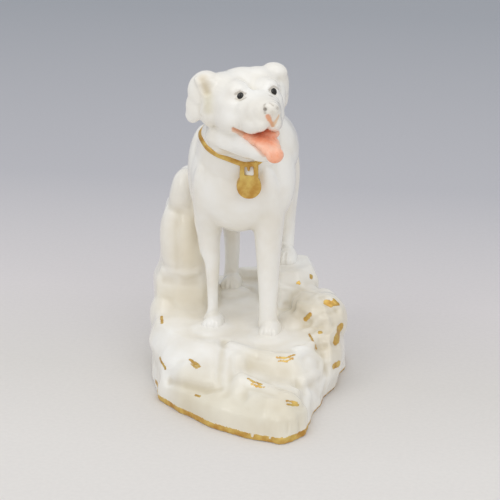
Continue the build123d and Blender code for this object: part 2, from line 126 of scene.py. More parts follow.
class Clay:
    """Some pieces joined as soft clay, modelled as one, and cut apart again before firing."""

    weld = 0.001
    lap = 0.8
    far = 1000.0
    wipe_share = 0.5
    facing_edge = 4
    crease_wipes, crease_depth = 40, 0.4
    cut_rounds = 12
    shortest_run = 1e-12

    def __init__(self, name, nodes, copies, lumps, voxel):
        self.nodes = nodes
        form = bmesh.new()
        for node in copies:
            form.from_mesh(frame["nodes"][node].data)
        bmesh.ops.remove_doubles(form, verts=form.verts, dist=self.weld * MM)
        for spot, size, turn in lumps:
            turned = Euler([math.radians(angle) for angle in turn])
            lump = ball.copy()
            lump.transform(Matrix.LocRotScale(Vector(spot) * MM, turned, Vector(size) * MM))
            form.from_mesh(lump)
            bpy.data.meshes.remove(lump)
        mesh = bpy.data.meshes.new(name)
        form.to_mesh(mesh)
        form.free()
        rough = shown(name + "_rough", mesh)
        remesh = rough.modifiers.new("remesh", "REMESH")
        remesh.mode = "VOXEL"
        remesh.voxel_size = voxel * MM
        view = bpy.context.evaluated_depsgraph_get()
        self.object = shown(name, bpy.data.meshes.new_from_object(rough.evaluated_get(view)))
        bpy.data.objects.remove(rough)
        self.mesh = self.object.data
        count = len(self.mesh.vertices)
        self.points = np.empty((count, 3), np.float32)
        self.normals = np.empty((count, 3), np.float32)
        self.edges = np.empty((len(self.mesh.edges), 2), np.int32)
        self.tint = np.ones((count, 4), np.float32)
        self.gilt = np.zeros(count, np.float32)
        self.mesh.vertices.foreach_get("co", self.points.ravel())
        self.mesh.edges.foreach_get("vertices", self.edges.ravel())
        self.valence = np.bincount(self.edges.ravel(), minlength=count)
        self.settle()

    def settle(self):
        """Puts the moved points into the mesh and reads its normals again."""
        self.mesh.vertices.foreach_set("co", self.points.ravel())
        self.mesh.update()
        self.mesh.vertex_normals.foreach_get("vector", self.normals.ravel())
        bpy.context.view_layer.update()

    def neighbours(self, values):
        """Mean of each point's neighbours."""
        start, end = self.edges.T
        count = len(self.points)
        sums = [
            np.bincount(start, column[end], count) + np.bincount(end, column[start], count)
            for column in values.T
        ]
        return (np.stack(sums, 1) / self.valence[:, None]).astype(np.float32)

    def relax(self, times, share=wipe_share):
        """Wipes the clay smooth, everywhere alike or by a share at each point."""
        for _ in range(times):
            self.points += (self.neighbours(self.points) - self.points) * share
        self.settle()

    def soften(self, paths, width, times):
        """Wipes the clay smooth round some paths only."""
        closeness = np.max([self.near(path, width) for path in paths], 0)
        self.relax(times, self.wipe_share * closeness[:, None])

    def spots(self, path):
        """Places of a path in metres: pixels are looked up on the clay as the camera sees it."""
        found = []
        for place in path:
            if len(place) == 2:
                hit, spot, _, _ = self.object.ray_cast(camera_spot, sight(*place))
                if not hit:
                    raise ValueError(f"nothing is seen at pixel {place}")
                found.append(np.array(spot))
            else:
                found.append(np.array(place) * MM)
        return found

    def gaps(self, path, reach):
        """Distance in millimetres from each point to a path, told only within a reach."""
        spots = self.spots(path)
        low, high = np.min(spots, 0) - reach * MM, np.max(spots, 0) + reach * MM
        inside = np.flatnonzero(((self.points > low) & (self.points < high)).all(1))
        points = self.points[inside]
        gaps = np.full(len(self.points), self.far, np.float32)
        for start, end in zip(spots, spots[1:] or spots):
            run = end - start
            along = np.clip((points - start) @ run / max(run @ run, self.shortest_run), 0, 1)
            gap = np.linalg.norm(points - start - along[:, None] * run, axis=1) / MM
            gaps[inside] = np.minimum(gaps[inside], gap)
        return gaps

    def near(self, path, width):
        """Closeness of each point to a path: 1 on it, falling softly to 0 at the width."""
        return np.clip(1 - (self.gaps(path, width) / width) ** 2, 0, 1) ** 2

    def press(self, path, width, height):
        """Raises the surface along a path, or sinks it where the height is below zero."""
        self.points += (self.near(path, width) * height * MM)[:, None] * self.normals

    def work(self, strokes):
        """Presses a table of strokes into the clay: the path, width and height of each."""
        for path, width, height in strokes.values():
            self.press(path, width, height)
        self.settle()

    def pull(self, path, width, move):
        """Drags the clay round a path."""
        self.points += self.near(path, width)[:, None] * np.array(move, np.float32) * MM

    def paint(self, path, width, colour, cover=1.0, inside=None, edge=3.0):
        """Lays a wash along a path, only on what faces the place inside if one is given: enamel, and painted
        shade in places.
        """
        share = cover * np.clip(self.near(path, width) * edge, 0, 1)
        if inside is not None:
            toward = np.array(inside, np.float32) * MM - self.points
            toward /= np.linalg.norm(toward, axis=1)[:, None]
            share = share * np.clip((toward * self.normals).sum(1) * self.facing_edge, 0, 1)
        self.tint += (np.array(linear(colour), np.float32) - self.tint) * share[:, None]

    def gild(self, path, width):
        """Lays a stroke of gold; the value is 0.5 at the stroke's edge and 1 a millimetre inside it."""
        depth = width / 2 - self.gaps(path, width + 1)
        self.gilt = np.maximum(self.gilt, np.clip(0.5 + depth / 2, 0, 1))

    def hollows(self):
        """How deep each point lies in a hollow: 0 on the open surface, 1 in a crease."""
        smooth = self.points.copy()
        for _ in range(self.crease_wipes):
            smooth += (self.neighbours(smooth) - smooth) * self.wipe_share
        depth = ((smooth - self.points) * self.normals).sum(1)
        return np.clip(depth / (self.crease_depth * MM), 0, 1)

    def tidy_cuts(self, shares):
        """Lets each face join the piece that most faces round it belong to, so that cuts run clean."""
        corners = np.empty(len(self.mesh.loops), np.int32)
        sides = np.empty(len(self.mesh.polygons), np.int32)
        self.mesh.loops.foreach_get("vertex_index", corners)
        self.mesh.polygons.foreach_get("loop_total", sides)
        faces = np.repeat(np.arange(len(sides)), sides)
        for _ in range(self.cut_rounds):
            tallies = []
            for piece in range(len(self.nodes)):
                votes = np.bincount(corners, shares[faces] == piece, len(self.points))
                tallies.append(np.bincount(faces, votes[corners], len(sides)))
            shares = np.argmax(tallies, 0)
        return shares

    def cut_apart(self, material):
        """Gives each face to the CAD piece that it lies nearest to, and closes the cut faces."""
        self.settle()
        mesh = self.mesh
        for name, kind, key, values in (
            ("hollow", "FLOAT", "value", self.hollows()),
            ("tint", "FLOAT_COLOR", "color", self.tint.ravel()),
            ("gilt", "FLOAT", "value", self.gilt),
            ("facing", "FLOAT_VECTOR", "vector", self.normals.ravel()),
        ):
            mesh.attributes.new(name, kind, "POINT").data.foreach_set(key, values)
        owner, owners = bmesh.new(), []
        for index, node in enumerate(self.nodes):
            solid = frame["nodes"][node].data
            owner.from_mesh(solid)
            owners += [index] * len(solid.polygons)
            mesh.materials.append(material)
        tree = BVHTree.FromBMesh(owner)
        owner.free()
        shares = np.array([owners[tree.find_nearest(face.center)[2]] for face in mesh.polygons])
        shares = self.tidy_cuts(shares)
        mesh.polygons.foreach_set("material_index", shares)
        mesh.attributes.new("piece", "INT", "FACE").data.foreach_set("value", shares)
        before = set(scene.objects)
        bpy.context.view_layer.objects.active = self.object
        self.object.select_set(True)
        bpy.ops.object.mode_set(mode="EDIT")
        bpy.ops.mesh.separate(type="MATERIAL")
        bpy.ops.object.mode_set(mode="OBJECT")
        bpy.ops.object.select_all(action="DESELECT")
        for piece in [self.object, *(set(scene.objects) - before)]:
            self.close(piece.data)
            node = self.nodes[piece.data.attributes["piece"].data[0].value]
            piece.name = piece.data.name = node + "_modelled"
            piece.data.attributes.remove(piece.data.attributes["piece"])
            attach(piece, "root")
            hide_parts(node)

    def close(self, mesh):
        """Closes a cut piece a lap inside the joint, and keeps the shading of the joined clay."""
        form = bmesh.new()
        form.from_mesh(mesh)
        facing = form.verts.layers.float_vector["facing"]
        rims = [edge for edge in form.edges if edge.is_boundary]
        sunk = bmesh.ops.extrude_edge_only(form, edges=rims)["geom"]
        for vert in sunk:
            if isinstance(vert, bmesh.types.BMVert):
                vert.co -= vert[facing] * self.lap * MM
        rims = [edge for edge in form.edges if edge.is_boundary]
        caps = bmesh.ops.holes_fill(form, edges=rims, sides=0)["faces"]
        bmesh.ops.poke(form, faces=caps)
        form.to_mesh(mesh)
        form.free()
        mesh.shade_smooth()
        normals = np.empty((len(mesh.vertices), 3), np.float32)
        mesh.attributes["facing"].data.foreach_get("vector", normals.ravel())
        unset = np.linalg.norm(normals, axis=1) < 0.5
        normals[unset] = (0, 0, 1)
        mesh.normals_split_custom_set_from_vertices(normals)
        mesh.attributes.remove(mesh.attributes["facing"])


# Dog: the CAD trunk, legs and tail, with the shoulders, withers and head built up in lumps, each
# given by its place, half sizes and turn in degrees
dog_nodes = [
    "torso", "head", "lower_jaw", "ear_left", "ear_right", "foreleg_left", "foreleg_right",
    "hind_leg_left", "hind_leg_right", "tail",
]
dog_copies = ["torso", "foreleg_left", "foreleg_right", "hind_leg_left", "hind_leg_right", "tail"]
dog_voxel = 0.37
dog_lumps = {
    "plug in the vent": ((-0.5, 24.6, 64.0), (3.0, 3.0, 2.6), upright),
    "right shoulder": ((-12.2, 2.0, 77.0), (6.4, 9.0, 16.0), upright),
    "left shoulder": ((12.2, 1.0, 76.0), (6.8, 9.0, 15.0), upright),
    "withers": ((1.0, 2.0, 90.0), (12.5, 11.0, 11.0), (-35, 0, 0)),
    "breast behind the padlock": ((6.2, -14.2, 81.2), (2.5, 1.8, 2.7), upright),
    "skull": head_lump((-1.0, 0.0, -0.5), (12.4, 13.0, 11.0)),
    "nape": head_lump((-4.0, 0.0, -7.0), (10.5, 9.0, 9.0)),
    "muzzle's root": head_lump((14.0, 0.0, 0.6), (7.8, 6.0, 6.2)),
    "muzzle": head_lump((18.0, 0.0, 0.6), (6.2, 6.0, 5.4)),
    "muzzle's end": head_lump((21.4, 0.0, 1.0), (4.8, 4.4, 4.6)),
    "nose": head_lump((24.6, 0.0, 2.8), (3.0, 2.2, 2.3)),
    "jaw's root": head_lump((8.0, 0.0, -9.2), (7.4, 8.0, 4.4)),
    "jaw": head_lump((14.5, 0.4, -11.0), (6.2, 6.5, 3.4), (14, 0, 0)),
    "chin": head_lump((18.6, 0.8, -12.2), (4.6, 4.0, 2.6), (14, 0, 0)),
    "throat": head_lump((5.0, 0.0, -11.6), (8.6, 8.5, 5.8)),
    "under the jaw": head_lump((10.5, 0.0, -12.2), (7.4, 7.0, 4.8)),
    "under the chin": head_lump((15.5, 0.5, -13.2), (5.6, 5.5, 3.2), (8, 0, 0)),
    "right of the throat": head_lump((3.0, -4.6, -11.0), (6.6, 8.0, 6.2)),
    "right of the neck": head_lump((0.5, -7.5, -11.6), (5.0, 6.0, 6.0)),
}
for side in both_sides:
    dog_lumps |= {
        ("front of the shoulder", side): ((side * 10.8, -3.2, 66.0), (5.0, 5.0, 18.0), (25, 0, 0)),
        ("forehead", side): head_lump((1.0, side * 5.8, 4.2), (6.4, 9.6, 6.2)),
        ("brow", side): head_lump((8.4, side * 5.0, 4.4), (4.8, 5.6, 5.0)),
        ("cheek", side): head_lump((7.0, side * 6.6, -2.6), (5.2, 8.0, 6.2)),
        ("lip", side): head_lump((16.0, side * 3.7, -3.2), (3.2, 7.0, 3.6)),
        ("front of the lip", side): head_lump((20.6, side * 2.4, -2.4), (2.8, 4.4, 3.0)),
        ("side of the muzzle", side): head_lump((14.5, side * 3.4, -1.2), (3.8, 6.5, 5.2)),
        ("whisker pad", side): head_lump((18.8, side * 2.4, -0.6), (3.3, 5.0, 4.4)),
        ("below the eye", side): head_lump((11.5, side * 4.4, -1.6), (4.4, 6.0, 5.4)),
        ("beside the eye", side): head_lump((6.5, side * 6.2, 1.2), (5.4, 8.0, 5.0)),
        ("temple", side): head_lump((-1.0, side * 12.0, 2.6), (3.2, 3.6, 6.4)),
    }
# Ears: a fold at the root, then the flap down to its rounded tip; the left one hangs shorter, its
# tip lifted and its flap by a share of that
ear_flare = -38
flap_share = 0.6
for side, lift in ((-1, 0.0), (1, 2.4)):
    flare = side * ear_flare
    dog_lumps |= {
        ("ear's fold", side): head_lump((0.2, side * 12.4, 8.6), (4.2, 4.2, 2.4), (0, side * 14, flare)),
        ("ear", side): head_lump((0.2, side * 15.0, 5.0), (2.0, 3.9, 5.2), (0, side * -8, flare)),
        ("flap", side): head_lump(
            (-0.9, side * 15.7, -0.4 + lift * flap_share), (1.8, 3.5, 5.0), (0, side * -2, flare),
        ),
        ("ear's tip", side): head_lump(
            (-2.2, side * 16.0, -3.6 + lift), (1.7, 2.8, 2.9), (0, side * 4, flare),
        ),
        ("behind the flap", side): head_lump((1.8, side * 12.2, 0.0), (2.8, 3.8, 7.5)),
    }
dog = Clay("dog", dog_nodes, dog_copies, dog_lumps.values(), dog_voxel)

# The lumps' joints are wiped smooth, the jaw's edge lifted off the collar and the crown raised
dog.relax(times=14)
for side in both_sides:
    shoulder_joint = [(side * 9.5, -5.0, 60.0), (side * 9.0, -9.0, 70.0), (side * 13.0, 2.0, 78.0)]
    dog.soften([shoulder_joint], width=10.0, times=90)
cheeks = [[head(8.0, side * 9.0, -1.0), head(4.0, side * 6.0, 8.0)] for side in both_sides]
dog.soften(cheeks, width=9.0, times=50)
ear_root = [(207.0, 84.0), (208.5, 96.0), (207.0, 108.0)]
dog.soften([ear_root], width=4.5, times=40)
throat = [(210.0, 136.0), (216.0, 144.0), (228.0, 150.0), (246.0, 157.0)]
dog.soften([throat], width=8.0, times=90)
jaw_edge = [(-7.5, -19.0, 90.5), (-5.4, -21.4, 89.7), (-3.2, -21.5, 88.6), (0.0, -21.5, 88.2)]
dog.pull(jaw_edge, width=5.5, move=(0.0, 0.0, 1.8))
dog.settle()
under_jaw = [(214.0, 149.0), (228.0, 153.0), (246.0, 158.0)]
dog.soften([under_jaw], width=5.0, times=40)
muzzle_stop = [(248.0, 86.0), (258.0, 89.0)]
muzzle_bridge = [(254.0, 93.0), (264.0, 97.0)]
dog.soften([muzzle_stop, muzzle_bridge], width=4.5, times=50)
crown = [head(1.0, 3.0, 10.0), head(0.0, 13.0, 9.0)]
dog.pull(crown, width=9.0, move=(0.0, 0.0, 1.0))
dog.settle()

# Face: sunk eyes under brows, the stop, nostrils, the groove of the lip, and the right ear's folds
eye_right = (240.4, 96.0)
eye_left = (273.7, 91.7)
ear_edge = [(196.3, 78.8), (199.0, 85.4), (201.7, 91.9), (203.8, 96.2), (204.4, 103.8), (201.7, 113.0)]
dog.work({
    "right eye's socket": ([eye_right], 2.8, -0.7),
    "left eye's socket": ([eye_left], 2.6, -0.7),
    "right brow": ([(232.0, 90.0), (240.0, 86.8), (248.0, 88.5)], 2.0, 0.25),
    "left brow": ([(267.0, 85.0), (274.0, 82.5), (280.0, 85.0)], 2.0, 0.25),
    "stop": ([(257.5, 76.0), (257.0, 88.0)], 4.0, -0.25),
    "right nostril": ([(265.2, 109.5)], 1.1, -0.7),
    "left nostril": ([(277.5, 108.5)], 1.1, -0.4),
    "groove of the lip": ([(272.5, 113.0), (272.9, 127.0)], 0.9, -0.35),
    "rolled edge of the right ear": (ear_edge, 1.2, 0.5),
    "hollow of the right ear": ([(203.0, 81.0), (206.5, 92.0)], 2.0, -0.5),
})

# Slim legs on the dog's right, and toes drawn into the wet clay
right_foreleg = [(-11.0, 2.6, 52.0), (-11.0, 2.6, 27.0)]
right_hind_leg = [(-10.8, 34.0, 52.0), (-10.8, 34.0, 32.0)]
right_elbow = [(-11.0, 2.6, 66.0), (-11.0, 2.6, 52.0)]
right_shin = [(-14.5, 2.6, 42.0), (-14.5, 2.6, 27.0)]
dog.press(right_foreleg, width=8.0, height=-1.3)
dog.press(right_hind_leg, width=8.0, height=-0.7)
dog.pull(right_elbow, width=10.0, move=(-0.9, 0.0, 0.0))
dog.pull(right_shin, width=6.0, move=(1.2, 0.0, 0.0))
paws = {
    "right forepaw": (-9.8, 2.6, 21.0),
    "left forepaw": (11.2, -0.6, 20.6),
    "right hind paw": (-9.6, 34.0, 24.4),
    "left hind paw": (11.0, 34.0, 35.5),
}
toe_gaps = (-2.0, 0.0, 2.0)
toe_profile = ((-8.2, 0.5), (-6.8, 3.4), (-5.4, 4.2))
for x, y, z in paws.values():
    for aside in toe_gaps:
        toe = [(x + aside, y + along, z + up) for along, up in toe_profile]
        dog.press(toe, width=1.0, height=-0.45)
dog.settle()

# Enamel: lips and the inside of the mouth, and thin lids; painted shade: grey down the nose's right edge and
# in the nostrils. Each stroke has its path, width, colour and cover.
mouth_inside = head(17.0, 0.5, -6.0)
mouth = [head(12.0, 0.0, -6.5), head(24.0, 1.0, -5.5)]
dog.paint(mouth, 9.0, "#F5B99E", inside=mouth_inside)
lip_line = [(233.0, 128.4), (240.0, 131.2), (248.6, 134.6)]
dog.press(lip_line, width=0.9, height=-0.5)
dog.settle()
face_enamel_and_shade = {
    "lower lip": ([(234.5, 130.4), (240.5, 133.2), (248.0, 137.2), (254.0, 143.0)], 1.2, "#F9C7A8", 0.8),
    "lower lip's front": ([(254.0, 143.6), (260.0, 150.0), (264.0, 154.6)], 1.1, "#F8CDB2", 0.6),
    "line of the lips": (
        [(232.8, 128.4), (236.0, 129.6), (241.0, 131.6), (248.0, 134.4)], 0.6, "#EFAF8C", 0.9,
    ),
    "right stroke under the nose": ([(267.8, 116.2), (269.6, 119.4)], 1.0, "#FCB896", 0.95),
    "right stroke's tail": ([(269.4, 119.4), (271.2, 122.6), (272.6, 125.6)], 0.75, "#FDBE98", 0.95),
    "left stroke under the nose": ([(278.6, 116.2), (276.0, 120.6), (273.2, 125.2)], 0.7, "#F8D2AE", 0.8),
    # Painted shade: grey down the nose's right edge and in the two nostrils
    "nose's right edge": ([(264.6, 104.6), (265.0, 112.8)], 0.6, "#BDB7B0", 0.6),
    "right nostril": ([(265.2, 109.4)], 0.8, "#8F8A86", 0.8),
    "left nostril": ([(277.5, 108.4)], 0.7, "#B4AFA9", 0.5),
    "nose's top": ([(269.4, 103.0), (273.0, 105.6), (278.6, 102.4)], 0.4, "#C4BEB6", 0.6),
    "right upper lid": ([(235.5, 94.0), (240.0, 91.5), (245.5, 93.5)], 0.55, "#B9AFA4", 0.6),
    "right lower lid": ([(236.0, 98.5), (241.0, 100.2), (245.5, 98.0)], 0.5, "#C9C0B4", 0.5),
    "left upper lid": ([(269.0, 90.0), (273.5, 86.5), (278.5, 89.0)], 0.55, "#B9AFA4", 0.6),
}
for path, width, colour, cover in face_enamel_and_shade.values():
    dog.paint(path, width, colour, cover)
# Painted shade: a tan wash in the right ear's hollow and a grey-green one down the crease between the ear and
# the cheek
ear_hollow = [(202.5, 79.0), (205.5, 86.0), (206.8, 93.0)]
ear_crease = [(208.5, 97.0), (208.0, 110.0)]
dog.paint(ear_hollow, 2.8, "#EBE2D0", cover=0.8, edge=1.0)
dog.paint(ear_crease, 2.6, "#E8E4D2", cover=0.7, edge=1.0)

# Eyes: where the small domes of black enamel sit
eye_seats = {}
for name, pixel in (("eye_right", eye_right), ("eye_left", eye_left)):
    _, spot, normal, _ = dog.object.ray_cast(camera_spot, sight(*pixel))
    eye_seats[name] = spot, normal

# Rocks: the CAD rocks, with rounder boulders, the stump's lobes and mounds under the paws
rock_nodes = ["rock_base", "top_rock", "middle_rock", "low_rock", "stump"]
rock_voxel = 0.5
rock_lumps = {
    "stump's top": ((-23.0, 16.0, 62.0), (5.8, 7.5, 11.0), upright),
    "stump's top by the flank": ((-17.5, 17.0, 57.0), (6.0, 8.0, 12.0), upright),
    "stump's outer lobe": ((-25.8, 15.0, 47.0), (6.4, 9.0, 15.0), upright),
    "stump's inner lobe": ((-19.0, 16.0, 45.0), (6.8, 9.0, 16.0), upright),
    "stump's front": ((-21.5, 13.8, 47.0), (6.6, 8.4, 16.0), upright),
    "stump's foot": ((-29.5, 14.0, 18.5), (6.6, 9.0, 10.0), upright),
    "middle rock": ((26.8, 12.0, 19.6), (9.4, 9.0, 11.6), (0, 16, 20)),
    "middle rock's back": ((26.5, 18.0, 23.6), (6.0, 7.0, 7.0), upright),
    "between the rocks": ((21.0, 20.0, 26.0), (5.0, 7.0, 5.0), upright),
    "step before the rocks": ((17.5, 9.0, 19.5), (7.0, 10.0, 4.5), upright),
    "step to the top rock": ((22.5, 16.5, 25.0), (7.0, 8.0, 5.5), upright),
    "mound under the right forepaw": ((-9.8, -1.0, 20.4), (7.6, 9.0, 1.6), upright),
    "mound under the left forepaw": ((11.2, -3.8, 20.0), (7.6, 9.0, 1.6), upright),
    "mound under the right hind paw": ((-9.6, 30.8, 23.8), (7.2, 8.8, 1.6), upright),
    "mound under the left hind paw": ((11.0, 30.8, 34.8), (6.8, 8.0, 1.4), upright),
}
rock = Clay("rock", rock_nodes, rock_nodes, rock_lumps.values(), rock_voxel)

# The foot is drawn out or in, each pull with its path, width and move
foot_pulls = {
    "left side": ([(36.0, -10.0, 1.0), (36.5, 2.0, 1.0), (36.0, 12.0, 1.0)], 8.0, (-2.2, 0.0, 0.0)),
    "front": ([(-2.0, -43.0, 0.0), (22.0, -50.0, 0.0)], 14.0, (0.0, -1.4, 0.0)),
    "left of the tip": ([(26.0, -48.0, 0.0), (31.0, -43.0, 0.0)], 10.0, (1.0, -1.8, 0.0)),
    "tip": ([(21.5, -51.5, 0.0), (21.5, -51.0, 6.0)], 7.0, (0.0, 1.4, 0.0)),
}
for path, width, move in foot_pulls.values():
    rock.pull(path, width, move)
rock.relax(times=8)
forepaw_mounds = [[(-9.8, -1.0, 21.5)], [(11.2, -3.8, 21.0)]]
rock.soften(forepaw_mounds, width=13.0, times=40)

# Blocks and bulges first, then ledges, hollows and grooves, as the camera sees them
rock.work({
    "right block": ([(180, 352), (205, 352), (208, 372), (185, 372)], 9.0, 1.2),
    "boulder's right bulge": ([(162.5, 392.0), (189, 401.4), (218.6, 408.4)], 5.5, 0.7),
    "front hollow": ([(252.2, 361.3), (273.3, 370.1), (289.5, 374.7)], 7.5, -2.4),
    "boulder's left bulge": ([(266, 412), (286, 416)], 8.0, 0.8),
    "left ridge's bulge": ([(312, 362), (312, 374)], 5.0, 0.8),
})
stump_foot = [(162, 309), (182, 312), (204, 311)]
rock.work({
    "groove over the boulder": ([(168, 381.7), (186.3, 386), (206, 389.4), (218.6, 387.3)], 2.6, -1.1),
    "groove beside the right block": ([(224.2, 341), (220.7, 359.3), (218.6, 380.3)], 2.4, -1.0),
    "shallow gully": ([(229, 360), (228, 376), (226, 392)], 3.4, -0.5),
    "rib beside the gully": ([(238.2, 357.3), (240.3, 373.3), (237.6, 386.7)], 3.4, 0.7),
    "plateau's edge": ([(229.8, 343.8), (252, 351), (274.7, 356), (295.7, 356), (313, 344.8)], 2.4, 0.7),
    "boulder's crest": ([(241, 378.9), (263.5, 387.3), (280.3, 394.3), (297.1, 402.8)], 3.0, 1.3),
    "dip before the crest": ([(246, 394), (262, 401), (276, 409)], 3.6, -0.5),
    "left ridge": ([(296.7, 349), (313, 353), (321.4, 361.7), (319.6, 373.3), (305.2, 380.3)], 2.4, 0.8),
    "hollow beside the boulder": ([(299, 384), (306, 391), (305, 400)], 4.0, -1.5),
    "dip at the left foot": ([(306, 384), (318, 392), (322, 398)], 3.0, -0.5),
    "first crack in the tip": ([(288.5, 423), (287.5, 433)], 0.9, -0.3),
    "second crack in the tip": ([(293.5, 423), (293.5, 434)], 0.9, -0.3),
    "third crack in the tip": ([(299, 421), (299.5, 432)], 0.9, -0.35),
    "top rock's upper crack": ([(281, 284.5), (297, 287), (312, 291.5)], 1.1, -0.45),
    "top rock's lower crack": ([(283, 291.5), (298, 295)], 1.0, -0.35),
    "crack at the step": ([(285, 304), (296, 309), (304, 315)], 1.6, -0.5),
    "middle rock's upper groove": ([(319, 296), (327, 304), (338, 310)], 2.0, -0.8),
    "middle rock's lower groove": ([(310, 322), (326.6, 314.8), (337, 311)], 1.8, -0.6),
    "middle rock's ledge": ([(314, 336), (330, 325), (341, 320)], 2.2, 0.5),
    "groove over the low rock": ([(316, 348), (326, 346), (337, 345)], 1.8, -0.7),
    "notch in the stump's top": ([(168.5, 207), (177, 210), (186, 216)], 2.6, -0.5),
    "stump's flute": ([(174, 222), (173.5, 240), (174, 258)], 4.0, -0.4),
    "pit under the ledge": ([(322, 330), (327, 338), (333, 343)], 1.6, -0.5),
    "middle rock's front edge": ([(306, 330), (316, 322), (322, 318)], 1.6, 0.5),
    "middle rock's shoulder": ([(327, 297), (335, 301), (341, 312)], 1.8, 0.4),
    "stump's ledge": ([(164, 270.5), (180, 273), (197, 272)], 2.6, 0.9),
    "groove under the stump's ledge": ([(163, 281), (182, 284), (203, 283)], 2.4, -0.6),
    "fillet at the stump's foot": (stump_foot, 3.0, 0.5),
    "crack behind the plateau": ([(240, 284), (252, 288), (262, 290)], 2.0, -0.5),
})
rock.relax(times=3)
rock.soften([stump_foot], width=5.0, times=40)
swell_size, swell_height = 7.0, 0.3
swell = [noise.noise(Vector(point) / (swell_size * MM)) for point in rock.points]
rock.points += (np.array(swell, np.float32) * swell_height * MM)[:, None] * rock.normals
rock.points[:, 2] = np.maximum(rock.points[:, 2], 0)
rock.settle()

# Gold: a foot line that is thin on the left side and at the back and nearly worn away on the right
foot_line_full, foot_line_thin, foot_line_worn = 2.3, 1.0, 0.2
x, y, z = rock.points.T / MM
left_side = (x > 19) & (y > -36)
back = y > 12
right_side = (x < -24) & (y > -16.5)
foot_line = np.where(left_side | back, foot_line_thin, foot_line_full)
foot_line[right_side] = foot_line_worn
outside = (rock.normals * rock.points)[:, :2].sum(1) > 0
underneath = rock.normals[:, 2] <= -0.6
rock.gilt = np.where(outside & ~underneath, np.clip(0.5 + (foot_line - z) / 2, 0, 1), 0)

# Brush marks of gold, each with its path and width, and small breaks in the foot line
gilt_marks = {
    "left dot on the top rock": ([(311.2, 276.7)], 1.9),
    "right dot on the top rock": ([(298.6, 282.9)], 1.6),
    "dot on the middle rock": ([(320.4, 332)], 1.8),
    "wedge on the middle rock": ([(326.5, 302.5), (331, 304)], 2.4),
    "wedge's lower tail": ([(331, 304), (338.2, 303.8)], 1.5),
    "wedge's upper tail": ([(333.5, 299), (337, 302.5)], 1.0),
    "dab by the step": ([(305.6, 319), (309.8, 314.8)], 1.8),
    "bar on the middle rock": ([(340.6, 327), (338.4, 334), (335.8, 341)], 3.2),
    "thin stroke before the middle rock": ([(309, 334), (313, 341), (316.5, 349)], 0.9),
    "dab on the low rock": ([(333.6, 366.2), (339, 363.4)], 2.2),
    "plateau's edge, upper stroke": ([(277, 357.4), (286, 358), (295, 355)], 0.75),
    "plateau's edge, lower stroke": ([(279, 361), (286, 361.4), (293, 358.6)], 0.7),
    "boulder's crest, upper stroke": ([(248, 378.4), (254, 382), (262, 384.4)], 0.75),
    "boulder's crest, lower stroke": ([(251.5, 383.8), (257, 386.6), (264, 387.2)], 0.75),
    "boulder's end, upper stroke": ([(286, 401), (292, 401.6), (297, 402.8)], 0.75),
    "boulder's end, lower stroke": ([(287.5, 404.2), (293, 405), (298.4, 405)], 0.85),
    "right block, upper stroke": ([(190, 359.6), (195.4, 363.2), (199.6, 366.8)], 1.1),
    "right block, lower stroke": ([(191.6, 364), (196.4, 368)], 0.8),
    "boulder's right end": ([(195.6, 395.2), (199.5, 396.4)], 0.9),
    "right side, long stroke": ([(159.8, 358), (162.6, 363.5), (165.4, 368.3)], 1.1),
    "right side, low dab": ([(155.6, 381), (157.8, 385.4)], 1.3),
    "right side, high dab": ([(161.4, 316.5), (162, 323)], 1.1),
    "stroke behind the stump": ([(-33.0, 30.0, 9.0), (-30.0, 35.0, 12.0)], 1.4),
    "stroke at the back": ([(8.0, 48.0, 10.0), (2.0, 48.5, 13.0)], 1.3),
}
for path, width in gilt_marks.values():
    rock.gild(path, width)
foot_line_breaks = {
    "right": [(252, 431), (252.3, 436.5)],
    "middle": [(270.5, 433), (270.3, 438.5)],
    "left": [(296.4, 425), (296.8, 430.5)],
}
break_reach, break_half = 2.0, 0.35
for path in foot_line_breaks.values():
    rock.gilt = np.minimum(rock.gilt, 0.5 + (rock.gaps(path, break_reach) - break_half) / 2)

# Painted shade: darker, warmer ivory washes on the boulder, the front hollow, the left rocks and the stump's
# faces, each with its path, width and colour
painted_shade_washes = {
    "boulder": ([(190, 400), (236, 408), (268, 416), (292, 413)], 20.0, "#EFEADC"),
    "front hollow": ([(254, 365), (286, 371)], 12.0, "#F2EDE1"),
    "left rocks": ([(300, 305), (335, 318), (330, 345)], 15.0, "#F0EBE0"),
    "stump's upper face": ([(190, 226), (190, 258)], 11.0, "#F6F0E2"),
    "stump's lower face": ([(168, 296), (202, 297)], 11.0, "#F6F1E5"),
}
for path, width, colour in painted_shade_washes.values():
    rock.paint(path, width, colour, edge=1.0)

# Tongue: a flat lobe over the lip, with a groove down its middle
tongue_voxel = 0.22
tongue_lumps = {
    "root": head_lump((14.5, -0.4, -8.2), (4.7, 4.5, 1.8)),
    "middle": head_lump((17.5, -0.2, -8.8), (4.5, 4.2, 1.9), (8, 0, 0)),
    "left of the root": head_lump((16.5, 3.0, -7.2), (3.4, 4.0, 1.9)),
    "over the lip": head_lump((20.4, 0.6, -9.4), (4.3, 3.6, 1.8), (26, 0, 0)),
    "hanging part": head_lump((22.8, 0.9, -10.6), (3.6, 3.0, 1.6), (52, 0, 0)),
    "tip": head_lump((24.6, 1.5, -12.4), (3.1, 2.7, 1.5), (74, 0, 0)),
}
tongue = Clay("tongue", ["tongue"], [], tongue_lumps.values(), tongue_voxel)
tongue.relax(times=8)
tongue_groove = [head(16.0, 0.8, -6.0), head(22.5, 1.0, -7.4), head(26.4, 1.0, -12.5)]
tongue_root = [head(13.0, 0.0, -6.0), head(21.0, 0.0, -6.6)]
tongue_tip = [head(25.5, 1.4, -13.5), head(26.0, 1.6, -15.0)]
tongue.press(tongue_groove, width=1.6, height=-0.3)
# Painted shade: the tongue's root is darkened where it lies under the upper lip
tongue.paint(tongue_root, 5.0, "#FDE4D8", cover=0.9)
tongue.paint(tongue_tip, 4.0, "#FFE8DA", edge=1.0)

